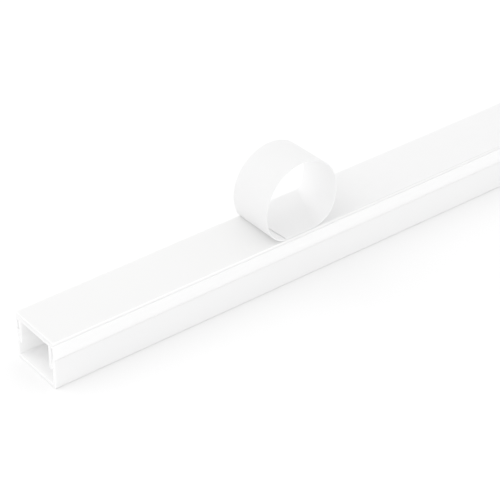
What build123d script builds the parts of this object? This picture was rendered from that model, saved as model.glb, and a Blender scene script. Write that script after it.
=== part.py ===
"""Cord cover raceway: a snap-together plastic duct with an adhesive back.

The duct lies on its cover with the adhesive side up. X runs along the length, Y across it, Z up from the
floor. The origin is at the middle of the cover's face. The liner has been peeled back from the -X end.
"""

import os
from math import cos, pi, radians, sin

from build123d import *

# Overall sizes, in millimetres
length = 400.0
width = 20.0
body_height = 14.5

# Base: back plate with side skirts, which lean in above and curl under below, and inner snap legs
plate_thickness = 1.1
skirt_height = 4.8
skirt_thickness = 1.0
skirt_lean = 0.35
skirt_lean_height = 2.4
skirt_bend_radius = 1.5
lip_height = 1.9
lip_inset = 0.45
back_edge_radius = 0.2
leg_length = 7.4
leg_thickness = 1.0
leg_root_radius = 0.4
hook_reach = 0.45
hook_land = 0.5
hook_height = 1.4

# Cover: U-shaped channel with an inner ridge along each wall
cover_reveal = 0.45
cover_wall = 1.0
cover_face = 1.1
cover_corner_radius = 0.6
cover_inner_radius = 0.5
cover_edge_radius = 0.15
ridge_height = 1.1
ridge_land = 0.5
snap_clearance = 0.15

# Adhesive tape and its release liner
tape_width = 18.8
tape_thickness = 1.0
liner_thickness = 0.2
peeled_length = 78.2
peel_skew = 3.0

# Curl of the peeled liner: turns in degrees, from the peel line over the crown to the tucked end
lift_turn = 65.0
rise_turn = 56.0
crown_turn = 144.0
fall_turn = 20.0
front_lift_radius = 7.6
front_rise_radius = 14.4
front_tuck_radius = 8.0
front_end_gap = 2.1
back_lift_radius = 1.5
back_rise_radius = 14.3
back_tuck_radius = 2.1
back_end_gap = 0.4
tuck_clearance = 0.15

# Places worked out from the sizes above
half_width = width / 2
plate_underside = body_height - plate_thickness
skirt_bottom = body_height - skirt_height
cover_outside = half_width - cover_reveal
cover_inside = cover_outside - cover_wall
leg_outside = cover_inside - snap_clearance - hook_reach
leg_inside = leg_outside - leg_thickness
leg_tip = plate_underside - leg_length
hook_top = leg_tip + hook_height
ridge_bottom = hook_top + snap_clearance
ridge_reach = cover_inside - leg_outside - snap_clearance
tape_top = body_height + tape_thickness
end_plane = Plane.YZ.offset(-length / 2)


def corner(sketch, across, up):
    """The vertex of a half section nearest to a place given across and up."""
    return sketch.vertices().sort_by_distance((across, up, 0))[0]


# Base channel: half of its section, rounded, mirrored and drawn out along the length
with BuildPart() as base_channel:
    with BuildSketch(end_plane) as base_section:
        with BuildLine():
            outside = Polyline(
                (0, body_height),
                (half_width - skirt_lean, body_height),
                (half_width, body_height - skirt_lean_height),
                (half_width, skirt_bottom + lip_height),
            )
            lip = TangentArc(outside @ 1, (half_width - lip_inset, skirt_bottom), tangent=outside % 1)
            Polyline(
                lip @ 1,
                (half_width - skirt_thickness, skirt_bottom),
                (half_width - skirt_thickness, plate_underside),
                (leg_outside, plate_underside),
                (leg_outside, hook_top),
                (leg_outside + hook_reach, hook_top),
                (leg_outside + hook_reach, hook_top - hook_land),
                (leg_outside, leg_tip),
                (leg_inside, leg_tip),
                (leg_inside, plate_underside),
                (0, plate_underside),
                (0, body_height),
            )
        make_face()
        fillet(corner(base_section, half_width - skirt_lean, body_height), back_edge_radius)
        fillet(corner(base_section, half_width, body_height - skirt_lean_height), skirt_bend_radius)
        fillet(corner(base_section, leg_inside, plate_underside), leg_root_radius)
        mirror(about=Plane.YZ)
    extrude(amount=length)
base_channel.part.label = "base_channel"

# Snap cover: its walls end under the skirts, and its ridges sit above the hooks of the legs
with BuildPart() as snap_cover:
    with BuildSketch(end_plane) as cover_section:
        with BuildLine():
            Polyline(
                (0, 0),
                (cover_outside, 0),
                (cover_outside, skirt_bottom),
                (cover_inside, skirt_bottom),
                (cover_inside, ridge_bottom + ridge_height),
                (cover_inside - ridge_reach, ridge_bottom + ridge_land),
                (cover_inside - ridge_reach, ridge_bottom),
                (cover_inside, ridge_bottom),
                (cover_inside, cover_face),
                (0, cover_face),
                close=True,
            )
        make_face()
        fillet(corner(cover_section, cover_outside, 0), cover_corner_radius)
        fillet(corner(cover_section, cover_outside, skirt_bottom), cover_edge_radius)
        fillet(corner(cover_section, cover_inside, cover_face), cover_inner_radius)
        mirror(about=Plane.YZ)
    extrude(amount=length)
snap_cover.part.label = "snap_cover"

# Adhesive tape: a plain strip on the flat of the back plate
with BuildPart() as adhesive_tape:
    with BuildSketch(Plane.XY.offset(body_height)):
        Rectangle(length, tape_width)
    extrude(amount=tape_thickness)
adhesive_tape.part.label = "adhesive_tape"


def curl_arcs(lift_radius, rise_radius, tuck_radius, end_gap):
    """Radius and turn of each arc of one edge of the curl, from the peel line to the tucked end.

    The radii of the crown and of the falling side are the two that use up the peeled length and bring the
    tucked end down on the liner that is still stuck, a gap away from the back end of the peel line.
    """
    tuck_turn = 360 - lift_turn - rise_turn - crown_turn - fall_turn
    turns = (lift_turn, rise_turn, crown_turn, fall_turn, tuck_turn)
    starts = [radians(180 - sum(turns[:step])) for step in range(len(turns))]
    ends = [start - radians(turn) for start, turn in zip(starts, turns)]

    # For each unit of radius: the height that an arc gains, and its own length with the tail below it
    climbs = [cos(end) - cos(start) for start, end in zip(starts, ends)]
    spans = [start - end + sin(start) - sin(end) for start, end in zip(starts, ends)]

    given = (lift_radius, rise_radius, 0, 0, tuck_radius)
    climb_left = liner_thickness + tuck_clearance - sum(r * climb for r, climb in zip(given, climbs))
    span_left = peeled_length + end_gap - pi * liner_thickness - sum(r * span for r, span in zip(given, spans))
    crown, fall = 2, 3
    share = climbs[crown] * spans[fall] - climbs[fall] * spans[crown]
    crown_radius = (climb_left * spans[fall] - span_left * climbs[fall]) / share
    fall_radius = (span_left * climbs[crown] - climb_left * spans[crown]) / share
    return list(zip((lift_radius, rise_radius, crown_radius, fall_radius, tuck_radius), turns))


def liner_face(arcs, peeled, thickness):
    """One face of the liner seen from its edge: the stuck run, the arcs of the curl and the flat tail.

    The thickness is how far the face lies outside the curl. The tail takes up what is left of the peeled length.
    """
    peel_line = peeled - length / 2
    height = tape_top + liner_thickness - thickness
    middle = liner_thickness / 2
    tail = peeled - sum((radius + middle) * radians(turn) for radius, turn in arcs)
    run = Line((length / 2, height), (peel_line, height))
    for radius, turn in arcs:
        run = JernArc(run @ 1, run % 1, radius + thickness, -turn)
    return Line(run @ 1, run @ 1 + (run % 1) * tail) @ 1


# Release liner: its two edges curl differently, and straight lines across the strip join them
with BuildPart() as release_liner:
    front_arcs = curl_arcs(front_lift_radius, front_rise_radius, front_tuck_radius, front_end_gap)
    back_arcs = curl_arcs(back_lift_radius, back_rise_radius, back_tuck_radius, back_end_gap)
    front_edge = (-tape_width / 2, front_arcs, peeled_length + peel_skew)
    back_edge = (tape_width / 2, back_arcs, peeled_length)
    for across, arcs, peeled in (front_edge, back_edge):
        with BuildSketch(Plane.XZ.offset(-across)):
            with BuildLine():
                inner_end = liner_face(arcs, peeled, 0)
                outer_end = liner_face(arcs, peeled, liner_thickness)
                Line(inner_end, outer_end)
                Line((length / 2, tape_top), (length / 2, tape_top + liner_thickness))
            make_face()
    loft(ruled=True)
release_liner.part.label = "release_liner"

os.makedirs("parts", exist_ok=True)
export_step(base_channel.part, "parts/base_channel.step")
export_step(snap_cover.part, "parts/snap_cover.step")
export_step(adhesive_tape.part, "parts/adhesive_tape.step")
export_step(release_liner.part, "parts/release_liner.step")
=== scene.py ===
"""Cord cover raceway: an adhesive-backed plastic duct with its release liner partly peeled back.

Each piece is a closed section carried along a path: the two extrusions and the tape run straight along X, and
the liner follows the curl. All lengths are in metres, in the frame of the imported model.
"""

from math import cos, pi, radians, sin
from typing import NamedTuple

import bpy
import numpy as np
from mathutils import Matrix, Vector


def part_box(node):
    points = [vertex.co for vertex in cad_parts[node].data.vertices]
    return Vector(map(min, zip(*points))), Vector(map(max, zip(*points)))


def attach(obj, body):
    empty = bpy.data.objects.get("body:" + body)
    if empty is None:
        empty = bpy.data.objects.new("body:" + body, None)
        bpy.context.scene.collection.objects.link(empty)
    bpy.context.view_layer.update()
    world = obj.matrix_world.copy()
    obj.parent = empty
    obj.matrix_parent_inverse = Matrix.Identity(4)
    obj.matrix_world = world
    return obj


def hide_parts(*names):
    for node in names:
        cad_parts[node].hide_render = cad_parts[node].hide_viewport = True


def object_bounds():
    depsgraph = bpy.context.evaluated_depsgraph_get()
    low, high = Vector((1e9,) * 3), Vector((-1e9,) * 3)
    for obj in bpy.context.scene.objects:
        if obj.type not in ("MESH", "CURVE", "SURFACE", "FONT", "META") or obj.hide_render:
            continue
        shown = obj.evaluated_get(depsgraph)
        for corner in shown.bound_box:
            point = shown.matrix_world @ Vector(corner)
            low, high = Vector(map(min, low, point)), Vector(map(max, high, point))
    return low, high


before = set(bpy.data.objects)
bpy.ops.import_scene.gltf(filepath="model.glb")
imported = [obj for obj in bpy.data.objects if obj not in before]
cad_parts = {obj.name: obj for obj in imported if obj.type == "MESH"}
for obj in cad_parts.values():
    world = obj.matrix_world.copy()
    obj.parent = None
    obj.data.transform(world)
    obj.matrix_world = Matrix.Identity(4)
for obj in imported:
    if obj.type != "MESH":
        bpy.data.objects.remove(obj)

bl_info = {
    "name": "Cord cover raceway",
    "version": (1, 0, 0),
    "blender": (4, 5, 0),
    "location": "View3D > Sidebar > Raceway",
    "description": "Builds a cord cover raceway with a partly peeled adhesive back",
    "category": "Add Mesh",
}

MM = 0.001
CAD_BOX = [list(corner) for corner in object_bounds()]

BASE_LOW, BASE_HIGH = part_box("base_channel")
COVER_LOW, COVER_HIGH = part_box("snap_cover")
TAPE_LOW, TAPE_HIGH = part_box("adhesive_tape")
LINER_LOW, LINER_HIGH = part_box("release_liner")
LINER_WIDTH = LINER_HIGH.y - LINER_LOW.y

# How finely the meshes are divided
EXTRUSION_ARC_STEPS = 6
EXTRUSION_STATIONS = 120
TAPE_ARC_STEPS = 5
TAPE_STATIONS = 300
CURL_STEPS = 28
STUCK_POINTS = 4 * CURL_STEPS
FILM_COLUMNS = 18
SHARP_ANGLE = radians(35)

# Stray of the tape's slit edges: the length of one radian of each wave, its shift, and the phase of each edge
STRAY_LENGTHS = (31.0 * MM, 12.7 * MM, 7.1 * MM)
STRAY_SHIFTS = (1, 2, 5)
BACK_PHASE = 0.4
FRONT_PHASE = 1.9

# Noise in the finishes, in cells to the metre, and the slant of the saw's marks in radians
LINES_ALONG = 5.0
TONE_SCALE = 45.0
FOAM_CELLS = 5200.0
FILM_CLOUDS = 260.0
SAW_MARKS = (0.0, 2500.0, 60.0)
SAW_SLANT = 0.5

# Where a finish changes: depth of a sawn end, foot of the painted light inside the duct,
# sideways share of a slit face's normal
SAWN_DEPTH = 0.02 * MM
DUCT_PAINTED_LIGHT_FOOT = 0.5 * MM
SLIT_FACING = 0.6

WHITE = (1.0, 1.0, 1.0)
STRIP_MAP = "Strip"
FLOOR_ROUGHNESS = 0.9
CAMERA_NEAR = 10.0 * MM
CAMERA_FAR = 50000.0 * MM


def size(name, description, default):
    """A length in metres, given here in millimetres."""
    return bpy.props.FloatProperty(
        name=name, description=description, default=default * MM, min=0.0, precision=5, unit="LENGTH"
    )


def position(name, description, default):
    """A place in metres, given here in millimetres."""
    return bpy.props.FloatVectorProperty(
        name=name,
        description=description,
        default=tuple(value * MM for value in default),
        precision=5,
        subtype="XYZ",
        unit="LENGTH",
    )


def turn(name, description, default):
    """An angle, given here in degrees."""
    return bpy.props.FloatProperty(
        name=name, description=description, default=radians(default), unit="ROTATION"
    )


def colour(name, description, default):
    """A linear colour."""
    return bpy.props.FloatVectorProperty(
        name=name, description=description, default=default, size=3, min=0.0, max=1.0, subtype="COLOR"
    )


def amount(name, description, default, unit="NONE"):
    """A plain number, or one in another unit than those above."""
    return bpy.props.FloatProperty(name=name, description=description, default=default, min=0.0, unit=unit)


class RacewaySection(bpy.types.PropertyGroup):
    """Walls, hooks and rounded edges of the two extrusions, and the bevel of their ends."""

    plate_thickness: size("Back plate", "Thickness of the back plate", 1.1)
    skirt_thickness: size("Skirt", "Thickness of the side skirts", 1.0)
    skirt_lean: size("Skirt lean", "How far the skirts lean in at the back", 0.35)
    skirt_lean_height: size("Lean height", "Height of the leaning part of the skirts", 2.4)
    skirt_bend_radius: size("Skirt bend", "Rounding where the skirts begin to lean", 1.5)
    lip_height: size("Lip height", "Height over which the skirts curl under", 1.9)
    lip_inset: size("Lip inset", "How far the skirts curl under", 0.45)
    back_edge_radius: size("Back edge", "Rounding of the edges of the back", 0.2)
    leg_length: size("Leg length", "Length of the snap legs below the back plate", 7.4)
    leg_thickness: size("Leg", "Thickness of the snap legs", 1.0)
    leg_root_radius: size("Leg root", "Rounding at the root of the legs", 0.4)
    hook_reach: size("Hook reach", "How far the hooks stand out from the legs", 0.45)
    hook_land: size("Hook land", "Flat height of the hooks", 0.5)
    hook_height: size("Hook height", "Height of the hooks with their ramp", 1.4)
    cover_wall: size("Cover wall", "Thickness of the cover's walls", 1.0)
    cover_face: size("Cover face", "Thickness of the cover's face", 1.1)
    cover_corner_radius: size("Cover corner", "Rounding of the cover's outer corners", 0.6)
    cover_inner_radius: size("Cover inner corner", "Rounding of the cover's inner corners", 0.5)
    cover_edge_radius: size("Cover edge", "Rounding of the cover's upper edges", 0.15)
    ridge_height: size("Ridge height", "Height of the cover's inner ridges with their ramp", 1.1)
    ridge_land: size("Ridge land", "Flat height of the ridges", 0.5)
    snap_clearance: size("Snap clearance", "Gap between hooks and ridges", 0.15)
    edge_softness: size("Edge softness", "Rounding of every other edge of the extrusions", 0.07)
    end_bevel: size("End bevel", "Bevel of the sawn ends, also of the tape", 0.06)


class RacewayTape(bpy.types.PropertyGroup):
    """Edges of the foam tape, and the hairline that parts it from the liner."""

    edge_radius: size("Tape edge", "Rounding of the upper edges of the tape", 0.15)
    foot_radius: size("Tape foot", "Rounding of the lower edges of the tape", 0.08)
    edge_stray: size("Edge stray", "How far the slit edges of the tape stray from a straight line", 0.05)
    film_gap: size("Film gap", "How much thinner the tape and the liner are drawn, to part them", 0.01)


class RacewayCurl(bpy.types.PropertyGroup):
    """Shape of the liner where it is peeled back, from the peel line over the crown to the tucked end."""

    thickness: size("Liner", "Thickness of the liner", 0.2)
    peeled_length: size("Peeled length", "Length of the liner that is off the tape at the back edge", 78.2)
    peel_skew: size("Peel skew", "How much further the front edge is peeled", 3.0)
    lift_turn: turn("Lift", "Turn of the arc that leaves the tape", 65.0)
    rise_turn: turn("Rise", "Turn of the rising side", 56.0)
    crown_turn: turn("Crown", "Turn of the crown", 144.0)
    fall_turn: turn("Fall", "Turn of the falling side", 20.0)
    front_lift_radius: size("Front lift", "Radius of the lifting arc at the front edge", 7.6)
    front_rise_radius: size("Front rise", "Radius of the rising side at the front edge", 14.4)
    front_tuck_radius: size("Front tuck", "Radius of the tucking arc at the front edge", 8.0)
    front_end_gap: size("Front end gap", "Gap from the tucked front corner to the peel line's back end", 2.1)
    back_lift_radius: size("Back lift", "Radius of the lifting arc at the back edge", 1.5)
    back_rise_radius: size("Back rise", "Radius of the rising side at the back edge", 14.3)
    back_tuck_radius: size("Back tuck", "Radius of the tucking arc at the back edge", 2.1)
    back_end_gap: size("Back end gap", "Gap from the tucked back corner to the peel line's back end", 0.4)
    tuck_clearance: size("Tuck clearance", "Gap between the tucked end and the liner below it", 0.15)


class RacewayFinish(bpy.types.PropertyGroup):
    """Colours of the finishes, some of which paint light or shade, and how deep light soaks into them."""

    # Painted light and shade: the base is paler and the cover darker than the one white plastic they share
    base: colour("Base", "Colour of the base", (0.975, 0.975, 0.975))
    base_shade: colour("Base shade", "Darker tone of the base", (0.962, 0.963, 0.964))
    cover: colour("Cover", "Colour of the cover", (0.82, 0.82, 0.82))
    cover_shade: colour("Cover shade", "Darker tone of the cover", (0.80, 0.801, 0.803))
    # Painted light: the inside of the duct gets a brighter colour than the outside, to lift the shade in it
    duct_painted_light: colour("Lining", "Colour of the extrusions inside the duct", (0.985, 0.985, 0.985))
    # Painted shade: the sawn ends get a darker colour that holds down the light falling on them
    cut: colour("Cut", "Colour of the sawn ends", (0.75, 0.75, 0.75))
    plastic_depth: size("Plastic depth", "How deep light soaks into the extrusions", 0.8)
    foam: colour("Foam", "Colour of the foam tape", (0.72, 0.72, 0.717))
    foam_shade: colour("Foam shade", "Darker tone of the foam tape", (0.698, 0.698, 0.693))
    # Painted light: the slit sides get a paler colour that lifts the shade along the tape's edges
    foam_side_painted_light: colour("Foam side", "Colour of the slit sides of the foam tape", (0.93, 0.928, 0.915))
    foam_depth: size("Foam depth", "How deep light soaks into the foam", 0.8)
    # Painted light: the liner off the tape is paler, which lifts the shade inside the curl
    film: colour("Film", "Colour of the liner where it is off the tape", (0.805, 0.805, 0.805))
    film_stuck: colour("Stuck film", "Colour of the liner where it is on the tape", (0.725, 0.725, 0.725))
    film_cloud: colour("Film cloud", "Tint of the clouds in the liner", (0.97, 0.971, 0.973))
    # Painted shade: the coated side is darker, which holds down the key light on the outside of the curl
    release: colour("Release side", "Colour of the liner's coated side", (0.65, 0.65, 0.65))
    film_depth: size("Film depth", "How deep light soaks into the liner", 0.3)
    floor: colour("Floor", "Colour of the floor", (0.855, 0.855, 0.855))


class RacewayStage(bpy.types.PropertyGroup):
    """Camera, floor and lights, and the lift of the picture's shades."""

    azimuth: turn("Azimuth", "Direction that the camera looks from, 0 from the front", -37.667)
    elevation: turn("Elevation", "Height of the camera above the horizon", 34.755)
    distance: size("Distance", "Distance from the camera to its target", 596.6)
    target: position("Target", "Place that the camera looks at", (-125.89, 0.0, 9.59))
    lens: amount("Lens", "Focal length in millimetres", 147.71, unit="CAMERA")
    sky: amount("Sky", "Strength of the light from all round", 1.09)
    key_power: amount("Key", "Power of the key light in watts", 3.53, unit="POWER")
    key_place: position("Key place", "Place of the key light", (-760.0, 410.0, 690.0))
    key_size: size("Key size", "Side of the key light", 1100.0)
    gamma: amount("Gamma", "Lift of the shades in the finished picture", 2.0)
    floor_reach: size("Floor reach", "Half of the floor's side", 6000.0)
    floor_gap: size("Floor gap", "Hairline between the floor and the raceway", 0.08)


class Skin(NamedTuple):
    """How a surface is worked.

    In order: drawn lines to the metre, least and most roughness, share of the lines in the relief, strength
    and depth of the relief, index of refraction, and roughness of cut faces.
    """

    line_pitch: float
    roughness: tuple
    line_relief: float
    relief_strength: float
    relief_depth: float
    refraction: float
    cut_roughness: float = 0.0


PLASTIC_SKIN = Skin(
    line_pitch=2600.0,
    roughness=(0.30, 0.42),
    line_relief=0.25,
    relief_strength=0.35,
    relief_depth=0.03 * MM,
    refraction=1.53,
    cut_roughness=0.65,
)
FOAM_SKIN = Skin(
    line_pitch=700.0,
    roughness=(0.34, 0.52),
    line_relief=0.2,
    relief_strength=0.4,
    relief_depth=0.05 * MM,
    refraction=1.47,
    cut_roughness=0.85,
)
FILM_SKIN = Skin(
    line_pitch=900.0,
    roughness=(0.36, 0.50),
    line_relief=0.5,
    relief_strength=0.2,
    relief_depth=0.03 * MM,
    refraction=1.45,
)


def rounded_outline(corners, radii, steps):
    """A closed outline whose corners are arcs, as an array of points.

    At each corner the unit directions to its neighbours give the half angle. The arc's centre lies on their
    bisector at radius / sin(half angle), and the arc is a spherical interpolation between its two ends.
    """
    corners = np.asarray(corners, float)
    radii = np.asarray(radii, float)[:, None]
    to_last = np.roll(corners, 1, axis=0) - corners
    to_next = np.roll(corners, -1, axis=0) - corners
    to_last /= np.linalg.norm(to_last, axis=1, keepdims=True)
    to_next /= np.linalg.norm(to_next, axis=1, keepdims=True)
    half = np.arccos(np.clip((to_last * to_next).sum(axis=1, keepdims=True), -1, 1)) / 2
    bisector = to_last + to_next
    bisector /= np.linalg.norm(bisector, axis=1, keepdims=True)
    centre = corners + bisector * radii / np.sin(half)
    start = (corners + to_last * radii / np.tan(half) - centre)[:, None]
    stop = (corners + to_next * radii / np.tan(half) - centre)[:, None]
    sweep = (pi - 2 * half)[:, None, :]
    share = np.linspace(0, 1, steps + 1)[None, :, None]
    arcs = (np.sin((1 - share) * sweep) * start + np.sin(share * sweep) * stop) / np.sin(sweep)
    return (centre[:, None] + arcs).reshape(-1, 2)


def mirrored(half):
    """The corners and radii of a whole section from those of its right half.

    The left half has the sideways places negated and comes in the opposite order, so that the outline closes.
    """
    half = np.asarray(half, float)
    whole = np.vstack([half, (half * [-1, 1, 1])[::-1]])
    return whole[:, :2], whole[:, 2]


def outward(outline):
    """Unit normals of a closed outline, square to the central difference of its points.

    The sign of the enclosed area tells which way the outline runs, and turns the normals outwards.
    """
    along = np.roll(outline, -1, axis=0) - np.roll(outline, 1, axis=0)
    normal = np.c_[along[:, 1], -along[:, 0]]
    y, z = outline.T
    area = (y * np.roll(z, -1) - np.roll(y, -1) * z).sum()
    return np.sign(area) * normal / np.linalg.norm(normal, axis=1, keepdims=True)


def bevelled_run(outline, low, high, bevel, count):
    """A section carried straight along X, as rows of points.

    The inner stations are evenly spaced and begin one bevel in from the ends. At the two end stations each
    point is moved in along its normal by the bevel.
    """
    inner = np.linspace(low + bevel, high - bevel, count)
    along = np.r_[low, inner, high]
    draw_in = np.r_[bevel, np.zeros(count), bevel]
    section = outline[None] - outward(outline)[None] * draw_in[:, None, None]
    stations = np.broadcast_to(along[:, None, None], section.shape[:2] + (1,))
    return np.concatenate([stations, section], axis=2)


def tube_mesh(name, rows, places=None):
    """A closed mesh from rows of points, one row for each station of a path, with a flat face at each end.

    Point (i, j) joins (i + 1, j), (i + 1, j + 1) and (i, j + 1), and j wraps round. The cross product of the
    steps round a row and along the path tells which way the faces point. If that is inwards, the rows are
    turned round. Places, where given, are the points' places on a flat strip.
    """
    across = np.cross(np.roll(rows, -1, axis=1)[:-1] - rows[:-1], rows[1:] - rows[:-1])
    middle = rows.mean(axis=1, keepdims=True)[:-1]
    if (across * (rows[:-1] - middle)).sum() > 0:
        rows = rows[:, ::-1]
        places = None if places is None else places[:, ::-1]
    stations, points = rows.shape[:2]
    index = np.arange(stations * points).reshape(stations, points)
    turned = np.roll(index, -1, axis=1)
    quads = np.stack([index[:-1], index[1:], turned[1:], turned[:-1]], axis=-1).reshape(-1, 4)
    faces = quads.tolist() + [index[0].tolist(), index[-1][::-1].tolist()]
    mesh = bpy.data.meshes.new(name)
    mesh.from_pydata(rows.reshape(-1, 3).tolist(), [], faces)
    if places is not None:
        corners = np.empty(len(mesh.loops), dtype=np.int32)
        mesh.loops.foreach_get("vertex_index", corners)
        layer = mesh.uv_layers.new(name=STRIP_MAP)
        layer.uv.foreach_set("vector", places.reshape(-1, 2)[corners].ravel())
    if mesh.validate():
        raise RuntimeError(f"{name} has faces that can't be used")
    mesh.shade_smooth()
    mesh.set_sharp_from_angle(angle=SHARP_ANGLE)
    return mesh


def add_piece(mesh, node, material):
    """Puts a finished mesh into the scene, under its own name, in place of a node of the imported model."""
    piece = bpy.data.objects.new(mesh.name, mesh)
    bpy.context.scene.collection.objects.link(piece)
    piece.data.materials.append(material)
    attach(piece, "root")
    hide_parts(node)
    return piece


class NodeSheet:
    """Shorthand for filling a node tree: adds nodes, sets their sockets and links them."""

    # Sockets of the mix node for colours, which share their names with those for other values
    FIRST_COLOUR = 6
    SECOND_COLOUR = 7
    MIXED_COLOUR = 2

    def __init__(self, tree):
        self.tree = tree

    def add(self, kind, settings=None, **sockets):
        """A new node. Its settings are made first, then its sockets, whose names have _ for a space."""
        node = self.tree.nodes.new(kind)
        for key, value in (settings or {}).items():
            setattr(node, key, value)
        for key, value in sockets.items():
            self.feed(node.inputs[key.replace("_", " ")], value)
        return node

    def feed(self, socket, value):
        """Links another socket to this one, or gives it a plain value."""
        if isinstance(value, bpy.types.NodeSocket):
            self.tree.links.new(value, socket)
        else:
            socket.default_value = value

    def operate(self, kind, operation, first, second):
        """The result of an operation on two values, by a node of the given kind."""
        node = self.add(kind, {"operation": operation})
        self.feed(node.inputs[0], first)
        self.feed(node.inputs[1], second)
        return node.outputs[0]

    def math(self, operation, first, second=0.0):
        """The result of an operation on numbers. One that takes a single number ignores the second."""
        return self.operate("ShaderNodeMath", operation, first, second)

    def multiply(self, first, second):
        """The product of two vectors or colours, number by number."""
        return self.operate("ShaderNodeVectorMath", "MULTIPLY", first, second)

    def blend(self, share, first, second):
        """A colour between two, which is the first at share 0 and the second at share 1."""
        node = self.add("ShaderNodeMix", {"data_type": "RGBA"}, Factor=share)
        self.feed(node.inputs[self.FIRST_COLOUR], first)
        self.feed(node.inputs[self.SECOND_COLOUR], second)
        return node.outputs[self.MIXED_COLOUR]

    def spread(self, value, low, high):
        """A value from 0 to 1, spread over a range."""
        return self.add("ShaderNodeMapRange", Value=value, To_Min=low, To_Max=high).outputs["Result"]

    def split(self, vector):
        """The X, Y and Z of a vector."""
        return self.add("ShaderNodeSeparateXYZ", Vector=vector).outputs


def new_group(name, inputs, outputs):
    """An empty shader node group with named sockets: inputs and outputs are (name, socket type, default)."""
    group = bpy.data.node_groups.new(name, "ShaderNodeTree")
    for in_out, sockets in (("INPUT", inputs), ("OUTPUT", outputs)):
        for label, kind, default in sockets:
            socket = group.interface.new_socket(label, in_out=in_out, socket_type=kind)
            if default is not None:
                socket.default_value = default
    sheet = NodeSheet(group)
    return group, sheet, sheet.add("NodeGroupInput").outputs, sheet.add("NodeGroupOutput").inputs


def drawn_lines_group(name):
    """Faint lines along the length, as a die or a coating roller leaves them.

    Noise is stretched along the first axis and squeezed across it. A second, slow noise gives a tone.
    """
    group, sheet, given, result = new_group(
        name,
        [("Position", "NodeSocketVector", None), ("Pitch", "NodeSocketFloat", PLASTIC_SKIN.line_pitch)],
        [("Height", "NodeSocketFloat", None), ("Tone", "NodeSocketFloat", None)],
    )
    squeeze = sheet.add("ShaderNodeCombineXYZ", X=LINES_ALONG, Y=given["Pitch"], Z=given["Pitch"])
    stretched = sheet.multiply(given["Position"], squeeze.outputs[0])
    lines = sheet.add("ShaderNodeTexNoise", Vector=stretched, Scale=1.0, Detail=2.0)
    slow = sheet.add("ShaderNodeTexNoise", Vector=given["Position"], Scale=TONE_SCALE, Detail=3.0)
    sheet.feed(result["Height"], lines.outputs["Fac"])
    sheet.feed(result["Tone"], slow.outputs["Fac"])
    return group


def sawn_end_group(name):
    """A mask for the two sawn ends, by the distance from the middle of the length, with the saw's marks."""
    group, sheet, given, result = new_group(
        name,
        [("Position", "NodeSocketVector", None), ("Half length", "NodeSocketFloat", BASE_HIGH.x)],
        [("Mask", "NodeSocketFloat", None), ("Height", "NodeSocketFloat", None)],
    )
    reach = sheet.math("ABSOLUTE", sheet.split(given["Position"])["X"])
    edge = sheet.math("SUBTRACT", given["Half length"], SAWN_DEPTH)
    sheet.feed(result["Mask"], sheet.math("GREATER_THAN", reach, edge))
    slanted = sheet.add(
        "ShaderNodeMapping", Vector=given["Position"], Rotation=(SAW_SLANT, 0.0, 0.0), Scale=SAW_MARKS
    )
    marks = sheet.add("ShaderNodeTexNoise", Vector=slanted.outputs[0], Scale=1.0, Detail=3.0)
    sheet.feed(result["Height"], marks.outputs["Fac"])
    return group


def use_group(sheet, name, maker, **sockets):
    """Places a shared group in a material, making it the first time, and returns its outputs."""
    group = bpy.data.node_groups.get(name) or maker(name)
    return sheet.add("ShaderNodeGroup", {"node_tree": group}, **sockets).outputs


def drawn_lines(sheet, place, skin):
    """The faint lines of a skin and the slow tone that goes with them."""
    return use_group(sheet, "Drawn lines", drawn_lines_group, Position=place, Pitch=skin.line_pitch)


def new_material(name):
    """A material, the sheet to fill it with and the sockets of its surface shader."""
    material = bpy.data.materials.new(name)
    material.use_nodes = True
    sheet = NodeSheet(material.node_tree)
    return material, sheet, material.node_tree.nodes["Principled BSDF"].inputs


def opaque(tone):
    """A colour with full alpha."""
    return (*tone, 1.0)


def dress(sheet, surface, skin, lines, relief, depth, cut=None):
    """Gives a surface its gloss and relief, and lets light soak in evenly, so that thin walls pass some on.

    The tone of the lines spreads the roughness. Where the cut mask is set, the surface is as rough as a cut.
    """
    roughness = sheet.spread(lines["Tone"], *skin.roughness)
    if cut is not None:
        roughness = sheet.math("MAXIMUM", roughness, sheet.math("MULTIPLY", cut, skin.cut_roughness))
    sheet.feed(surface["Roughness"], roughness)
    height = sheet.math("ADD", sheet.math("MULTIPLY", lines["Height"], skin.line_relief), relief)
    bump = sheet.add(
        "ShaderNodeBump", Height=height, Strength=skin.relief_strength, Distance=skin.relief_depth
    )
    sheet.feed(surface["Normal"], bump.outputs["Normal"])
    surface["IOR"].default_value = skin.refraction
    surface["Subsurface Weight"].default_value = 1.0
    surface["Subsurface Radius"].default_value = (1.0, 1.0, 1.0)
    surface["Subsurface Scale"].default_value = depth


def plastic_material(name, pale, shade, finish, painted_light_reach):
    """Smooth extruded vinyl: die lines along the length, a slow change of gloss, and matt sawn ends whose
    darker colour is painted shade.

    Inside the duct, nearer to the middle than the given reach and above its foot, the skin gets a brighter
    colour: painted light that lifts the shade inside the duct.
    """
    material, sheet, surface = new_material(name)
    place = sheet.add("ShaderNodeTexCoord").outputs["Object"]
    lines = drawn_lines(sheet, place, PLASTIC_SKIN)
    sawn = use_group(sheet, "Sawn end", sawn_end_group, Position=place, Half_length=BASE_HIGH.x)
    reach = sheet.split(place)
    # Painted light inside the duct, above its foot: a brighter colour that lifts the shade there
    inside = sheet.math("LESS_THAN", sheet.math("ABSOLUTE", reach["Y"]), painted_light_reach)
    inside = sheet.math("MULTIPLY", inside, sheet.math("GREATER_THAN", reach["Z"], DUCT_PAINTED_LIGHT_FOOT))
    tone = sheet.blend(lines["Tone"], opaque(shade), opaque(pale))
    tone = sheet.blend(inside, tone, opaque(finish.duct_painted_light))
    # Painted shade on the sawn ends; their matt finish and saw marks are real
    sheet.feed(surface["Base Color"], sheet.blend(sawn["Mask"], tone, opaque(finish.cut)))
    marks = sheet.math("MULTIPLY", sawn["Mask"], sawn["Height"])
    dress(sheet, surface, PLASTIC_SKIN, lines, marks, finish.plastic_depth, cut=sawn["Mask"])
    return material


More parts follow.
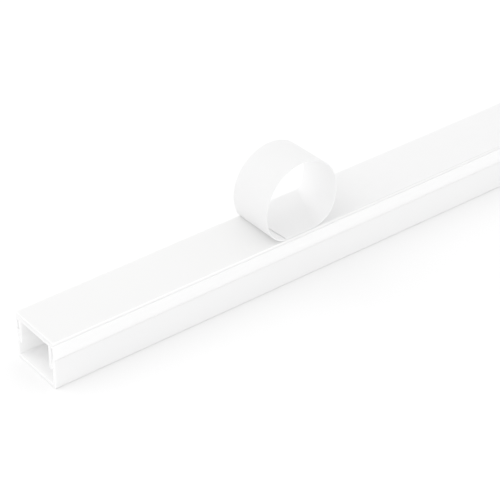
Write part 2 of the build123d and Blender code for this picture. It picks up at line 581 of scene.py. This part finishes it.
def foam_material(finish):
    """Foam tape: an adhesive face with a slow, uneven gloss, and open cells along its slit sides, whose paler
    colour is painted light that lifts the shade along the tape's edges.
    """
    material, sheet, surface = new_material("foam_tape")
    place = sheet.add("ShaderNodeTexCoord").outputs["Object"]
    lines = drawn_lines(sheet, place, FOAM_SKIN)
    cells = sheet.add("ShaderNodeTexVoronoi", Vector=place, Scale=FOAM_CELLS).outputs["Distance"]
    facing = sheet.split(sheet.add("ShaderNodeNewGeometry").outputs["True Normal"])
    side = sheet.math("GREATER_THAN", sheet.math("ABSOLUTE", facing["Y"]), SLIT_FACING)
    tone = sheet.blend(lines["Tone"], opaque(finish.foam_shade), opaque(finish.foam))
    # Painted light on the slit sides, picked out by which way they face
    sheet.feed(surface["Base Color"], sheet.blend(side, tone, opaque(finish.foam_side_painted_light)))
    pores = sheet.math("MULTIPLY", side, cells)
    dress(sheet, surface, FOAM_SKIN, lines, pores, finish.foam_depth, cut=side)
    return material


def film_material(finish, stuck):
    """Milky release film: light passes through it softly, with streaks along the strip and a cloudy tone.

    The coated side comes first across the strip; its darker colour is painted shade on the outside of the
    curl.
    The other side has its own tone over the stuck length, and off the tape a paler one that is painted light
    inside the curl.
    """
    material, sheet, surface = new_material("liner_film")
    strip = sheet.add("ShaderNodeUVMap", {"uv_map": STRIP_MAP}).outputs["UV"]
    lines = drawn_lines(sheet, strip, FILM_SKIN)
    cloud = sheet.add("ShaderNodeTexNoise", Vector=strip, Scale=FILM_CLOUDS, Detail=4.0).outputs["Fac"]
    reach = sheet.split(strip)
    peeled = sheet.math("GREATER_THAN", reach["X"], stuck)
    coated = sheet.math("LESS_THAN", reach["Y"], LINER_WIDTH)
    # Painted light inside the curl and painted shade on its coated outside
    tone = sheet.blend(peeled, opaque(finish.film_stuck), opaque(finish.film))
    tone = sheet.blend(coated, tone, opaque(finish.release))
    tint = sheet.blend(cloud, opaque(finish.film_cloud), opaque(WHITE))
    sheet.feed(surface["Base Color"], sheet.multiply(tone, tint))
    dress(sheet, surface, FILM_SKIN, lines, cloud, finish.film_depth)
    return material


def snap_places(section):
    """Places that both extrusions need: inside of the walls, outside and tip of the legs, top of hooks."""
    cover_inside = COVER_HIGH.y - section.cover_wall
    leg_outside = cover_inside - section.snap_clearance - section.hook_reach
    leg_tip = BASE_HIGH.z - section.plate_thickness - section.leg_length
    hook_top = leg_tip + section.hook_height
    return cover_inside, leg_outside, leg_tip, hook_top


def extrusion_mesh(name, half, low, high, bevel):
    """An extrusion from the corners and radii of the right half of its section."""
    outline = rounded_outline(*mirrored(half), steps=EXTRUSION_ARC_STEPS)
    return tube_mesh(name, bevelled_run(outline, low.x, high.x, bevel, EXTRUSION_STATIONS))


class RACEWAY_OT_base_channel(bpy.types.Operator):
    """Build the base: the back plate with its leaning skirts and the snap legs with their hooks"""

    bl_idname = "raceway.base_channel"
    bl_label = "Base channel"

    def execute(self, context):
        section = context.scene.raceway_section
        finish = context.scene.raceway_finish
        _, leg_outside, leg_tip, hook_top = snap_places(section)
        edge = BASE_HIGH.y
        back = BASE_HIGH.z
        skirt_bottom = COVER_HIGH.z
        skirt_inside = edge - section.skirt_thickness
        underside = back - section.plate_thickness
        hook_outside = leg_outside + section.hook_reach
        leg_inside = leg_outside - section.leg_thickness
        soft = section.edge_softness

        # The lip is one large arc. Its corner lies where the tangents at its two ends meet, and its radius
        # leaves room for the soft edge below it
        slope = section.lip_inset / section.lip_height
        lip_reach = section.lip_height * (1 + slope ** 2) / 2
        half = [
            (edge - section.skirt_lean, back, section.back_edge_radius),
            (edge, back - section.skirt_lean_height, section.skirt_bend_radius),
            (edge, skirt_bottom + section.lip_height - lip_reach, (lip_reach - 2 * soft) / slope),
            (edge - section.lip_inset, skirt_bottom, soft),
            (skirt_inside, skirt_bottom, soft),
            (skirt_inside, underside, soft),
            (leg_outside, underside, soft),
            (leg_outside, hook_top, soft),
            (hook_outside, hook_top, soft),
            (hook_outside, hook_top - section.hook_land, soft),
            (leg_outside, leg_tip, soft),
            (leg_inside, leg_tip, soft),
            (leg_inside, underside, section.leg_root_radius),
        ]
        mesh = extrusion_mesh("base_extrusion", half, BASE_LOW, BASE_HIGH, section.end_bevel)
        painted_light_reach = edge - section.skirt_thickness / 2
        # The base's paler colour is painted light on its skirt
        material = plastic_material("base_plastic", finish.base, finish.base_shade, finish, painted_light_reach)
        add_piece(mesh, "base_channel", material)
        return {"FINISHED"}


class RACEWAY_OT_snap_cover(bpy.types.Operator):
    """Build the cover: the U-shaped channel with the inner ridges that the hooks hold"""

    bl_idname = "raceway.snap_cover"
    bl_label = "Snap cover"

    def execute(self, context):
        section = context.scene.raceway_section
        finish = context.scene.raceway_finish
        inside, leg_outside, _, hook_top = snap_places(section)
        outside = COVER_HIGH.y
        top = COVER_HIGH.z
        ridge_bottom = hook_top + section.snap_clearance
        ridge_inside = leg_outside + section.snap_clearance
        soft = section.edge_softness
        half = [
            (inside, section.cover_face, section.cover_inner_radius),
            (inside, ridge_bottom, soft),
            (ridge_inside, ridge_bottom, soft),
            (ridge_inside, ridge_bottom + section.ridge_land, soft),
            (inside, ridge_bottom + section.ridge_height, soft),
            (inside, top, soft),
            (outside, top, section.cover_edge_radius),
            (outside, COVER_LOW.z, section.cover_corner_radius),
        ]
        mesh = extrusion_mesh("cover_extrusion", half, COVER_LOW, COVER_HIGH, section.end_bevel)
        painted_light_reach = outside - section.cover_wall / 2
        # The cover's darker colour is painted shade on its walls
        material = plastic_material("cover_plastic", finish.cover, finish.cover_shade, finish, painted_light_reach)
        add_piece(mesh, "snap_cover", material)
        return {"FINISHED"}


def stray(along, reach, phase):
    """A slow stray from a straight line, which stays within reach.

    It is the reach times the mean of sin(along / length + shift * phase) over the waves.
    """
    waves = [np.sin(along / length + shift * phase) for length, shift in zip(STRAY_LENGTHS, STRAY_SHIFTS)]
    return reach * sum(waves) / len(waves)


class RACEWAY_OT_adhesive_tape(bpy.types.Operator):
    """Build the foam tape: a soft-edged strip whose slit sides stray a little"""

    bl_idname = "raceway.adhesive_tape"
    bl_label = "Adhesive tape"

    def execute(self, context):
        tape = context.scene.raceway_tape
        bevel = context.scene.raceway_section.end_bevel
        top = TAPE_HIGH.z - tape.film_gap
        side = TAPE_HIGH.y - tape.edge_stray
        half = [(side, top, tape.edge_radius), (side, TAPE_LOW.z, tape.foot_radius)]
        outline = rounded_outline(*mirrored(half), steps=TAPE_ARC_STEPS)
        rows = bevelled_run(outline, TAPE_LOW.x, TAPE_HIGH.x, bevel, TAPE_STATIONS)
        along = rows[:, :, 0]
        across = rows[:, :, 1]
        back_stray = stray(along, tape.edge_stray, BACK_PHASE)
        front_stray = stray(along, tape.edge_stray, FRONT_PHASE)
        rows[:, :, 1] += np.where(across > 0, back_stray, front_stray) * np.abs(across) / side
        material = foam_material(context.scene.raceway_finish)
        add_piece(tube_mesh("foam_strip", rows), "adhesive_tape", material)
        return {"FINISHED"}


def curl_arcs(curl, lift_radius, rise_radius, tuck_radius, end_gap):
    """Radii, turns and first headings of the arcs of one edge of the curl, at the inner face of the liner.

    The radii of the crown and of the falling side solve two equations: the heights that all the arcs gain add
    up to the liner and its clearance, and the arcs with the tail below them use up the peeled length.
    """
    turns = np.array([curl.lift_turn, curl.rise_turn, curl.crown_turn, curl.fall_turn, 0.0])
    turns[-1] = 2 * pi - turns.sum()
    ends = pi - np.cumsum(turns)
    starts = ends + turns
    climbs = np.cos(ends) - np.cos(starts)
    spans = turns + np.sin(starts) - np.sin(ends)
    radii = np.array([lift_radius, rise_radius, 0.0, 0.0, tuck_radius])
    climb_left = curl.thickness + curl.tuck_clearance - radii @ climbs
    span_left = curl.peeled_length + end_gap - pi * curl.thickness - radii @ spans
    crown_and_fall = slice(2, 4)
    shares = [climbs[crown_and_fall], spans[crown_and_fall]]
    radii[crown_and_fall] = np.linalg.solve(shares, [climb_left, span_left])
    return radii, turns, starts


def curl_edge(curl, radii, turns, starts, peeled):
    """Middle line of one edge of the liner in X and Z: the stuck run, the arcs of the curl and the flat tail.

    A point at share s of an arc of radius r that starts with heading h and turns right by a lies at the arc's
    start plus r * (sin h - sin(h - s a), cos(h - s a) - cos h).
    """
    height = LINER_LOW.z + curl.thickness / 2
    peel_line = BASE_LOW.x + peeled
    middle = radii + curl.thickness / 2
    share = np.linspace(0, 1, CURL_STEPS + 1)[1:]
    heading = starts[:, None] - turns[:, None] * share
    step_x = middle[:, None] * (np.sin(starts)[:, None] - np.sin(heading))
    step_z = middle[:, None] * (np.cos(heading) - np.cos(starts)[:, None])
    begin_x = np.r_[0.0, np.cumsum(step_x[:, -1])[:-1]]
    begin_z = np.r_[0.0, np.cumsum(step_z[:, -1])[:-1]]
    arcs = np.c_[(begin_x[:, None] + step_x).ravel(), (begin_z[:, None] + step_z).ravel()]
    arcs += [peel_line, height]
    stuck = np.linspace(LINER_HIGH.x, peel_line, STUCK_POINTS)
    tail = (peeled - (middle * turns).sum()) * share
    return np.vstack([
        np.c_[stuck, np.full(STUCK_POINTS, height)],
        arcs,
        np.c_[arcs[-1, 0] - tail, np.full(CURL_STEPS, arcs[-1, 1])],
    ])


def film_rows(front, back, thickness):
    """A ruled strip between two edges, given a thickness, as rows of points round the strip.

    A point at share v across lies at (1 - v) * front + v * back. The cross product of the tangents along and
    across gives the normal, and the two faces lie half a thickness to either side. Places on the strip are
    the length along its middle and the distance across, first over the coated side and then over the other.
    """
    share = np.linspace(0, 1, FILM_COLUMNS + 1)
    edge_front = np.insert(front, 1, LINER_LOW.y, axis=1)
    edge_back = np.insert(back, 1, LINER_HIGH.y, axis=1)
    sheet = (1 - share[:, None]) * edge_front[:, None] + share[:, None] * edge_back[:, None]
    normal = np.cross(np.gradient(sheet, axis=0), np.gradient(sheet, axis=1))
    normal /= np.linalg.norm(normal, axis=2, keepdims=True)
    coated = sheet + normal * thickness / 2
    other = sheet - normal * thickness / 2
    middle = (edge_front + edge_back) / 2
    length = np.r_[0.0, np.cumsum(np.linalg.norm(np.diff(middle, axis=0), axis=1))]
    across = np.r_[share, 1 + share] * LINER_WIDTH
    places = np.stack(np.broadcast_arrays(length[:, None], across[None]), axis=-1)
    return np.concatenate([coated, other[:, ::-1]], axis=1), places


class RACEWAY_OT_release_liner(bpy.types.Operator):
    """Build the liner: a thin film, stuck to the far part of the tape and curled up over the near part"""

    bl_idname = "raceway.release_liner"
    bl_label = "Release liner"

    def execute(self, context):
        curl = context.scene.raceway_curl
        front_arcs = curl_arcs(
            curl, curl.front_lift_radius, curl.front_rise_radius, curl.front_tuck_radius, curl.front_end_gap
        )
        back_arcs = curl_arcs(
            curl, curl.back_lift_radius, curl.back_rise_radius, curl.back_tuck_radius, curl.back_end_gap
        )
        front_peeled = curl.peeled_length + curl.peel_skew
        front = curl_edge(curl, *front_arcs, front_peeled)
        back = curl_edge(curl, *back_arcs, curl.peeled_length)
        rows, places = film_rows(front, back, curl.thickness - context.scene.raceway_tape.film_gap)
        mesh = tube_mesh("liner_film", rows, places)
        stuck = LINER_HIGH.x - BASE_LOW.x - (curl.peeled_length + front_peeled) / 2
        material = film_material(context.scene.raceway_finish, stuck)
        piece = add_piece(mesh, "release_liner", material)
        return {"FINISHED"}


def aim(thing, direction):
    """Turns a lamp or a camera so that it looks in a direction."""
    thing.rotation_mode = "QUATERNION"
    thing.rotation_quaternion = direction.to_track_quat("-Z", "Y")


class RACEWAY_OT_stage(bpy.types.Operator):
    """Set the pale floor, the soft light from all round, the key light and the camera"""

    bl_idname = "raceway.stage"
    bl_label = "Stage"

    def execute(self, context):
        scene = context.scene
        stage = scene.raceway_stage
        self.add_floor(scene, stage)
        self.add_lights(scene, stage)
        self.add_camera(scene, stage)
        scene.view_settings.view_transform = "Standard"
        scene.view_settings.look = "None"
        scene.view_settings.gamma = stage.gamma
        return {"FINISHED"}

    def add_floor(self, scene, stage):
        """A wide, dull square. The hairline above it keeps a thin line of shadow along the cover's foot."""
        height = CAD_BOX[0][2] - stage.floor_gap
        square = np.array([(-1, -1, 0), (1, -1, 0), (1, 1, 0), (-1, 1, 0)])
        corners = square * stage.floor_reach + [0.0, 0.0, height]
        mesh = bpy.data.meshes.new("floor")
        mesh.from_pydata(corners.tolist(), [], [(0, 1, 2, 3)])
        material, _, surface = new_material("pale_floor")
        surface["Base Color"].default_value = opaque(scene.raceway_finish.floor)
        surface["Roughness"].default_value = FLOOR_ROUGHNESS
        surface["Specular IOR Level"].default_value = 0.0
        mesh.materials.append(material)
        floor = bpy.data.objects.new("floor", mesh)
        scene.collection.objects.link(floor)

    def add_lights(self, scene, stage):
        """An even white sky, and a large lamp that points at the camera's target."""
        world = bpy.data.worlds.new("white_room")
        world.use_nodes = True
        background = world.node_tree.nodes["Background"].inputs
        background["Color"].default_value = opaque(WHITE)
        background["Strength"].default_value = stage.sky
        scene.world = world
        light = bpy.data.lights.new("key", "AREA")
        light.energy = stage.key_power
        light.size = stage.key_size
        lamp = bpy.data.objects.new("key", light)
        lamp.location = stage.key_place
        aim(lamp, Vector(stage.target) - lamp.location)
        scene.collection.objects.link(lamp)

    def add_camera(self, scene, stage):
        """A camera at a distance from its target: the azimuth turns it round Z and the elevation lifts it."""
        lens = bpy.data.cameras.new("camera")
        lens.lens = stage.lens
        lens.clip_start = CAMERA_NEAR
        lens.clip_end = CAMERA_FAR
        camera = bpy.data.objects.new("camera", lens)
        flat = cos(stage.elevation)
        back = Vector((sin(stage.azimuth) * flat, -cos(stage.azimuth) * flat, sin(stage.elevation)))
        camera.location = Vector(stage.target) + back * stage.distance
        aim(camera, -back)
        scene.collection.objects.link(camera)
        scene.camera = camera


STEPS = (
    RACEWAY_OT_base_channel,
    RACEWAY_OT_snap_cover,
    RACEWAY_OT_adhesive_tape,
    RACEWAY_OT_release_liner,
    RACEWAY_OT_stage,
)
GROUPS = {
    "raceway_section": RacewaySection,
    "raceway_tape": RacewayTape,
    "raceway_curl": RacewayCurl,
    "raceway_finish": RacewayFinish,
    "raceway_stage": RacewayStage,
}


class RACEWAY_PT_panel(bpy.types.Panel):
    """Sidebar panel with a button for each piece and the sizes and colours below it"""

    bl_idname = "RACEWAY_PT_panel"
    bl_label = "Cord cover raceway"
    bl_space_type = "VIEW_3D"
    bl_region_type = "UI"
    bl_category = "Raceway"

    def draw(self, context):
        layout = self.layout
        for step in STEPS:
            layout.operator(step.bl_idname)
        for key, group in GROUPS.items():
            column = layout.column(align=True)
            for name in group.__annotations__:
                column.prop(getattr(context.scene, key), name)


def register():
    for group in GROUPS.values():
        bpy.utils.register_class(group)
    for key, group in GROUPS.items():
        setattr(bpy.types.Scene, key, bpy.props.PointerProperty(type=group))
    for step in (*STEPS, RACEWAY_PT_panel):
        bpy.utils.register_class(step)


def unregister():
    for step in reversed((*STEPS, RACEWAY_PT_panel)):
        bpy.utils.unregister_class(step)
    for key in GROUPS:
        delattr(bpy.types.Scene, key)
    for group in reversed(GROUPS.values()):
        bpy.utils.unregister_class(group)


def main():
    register()
    bpy.ops.raceway.base_channel()
    bpy.ops.raceway.snap_cover()
    bpy.ops.raceway.adhesive_tape()
    bpy.ops.raceway.release_liner()
    bpy.ops.raceway.stage()


if __name__ == "__main__":
    main()
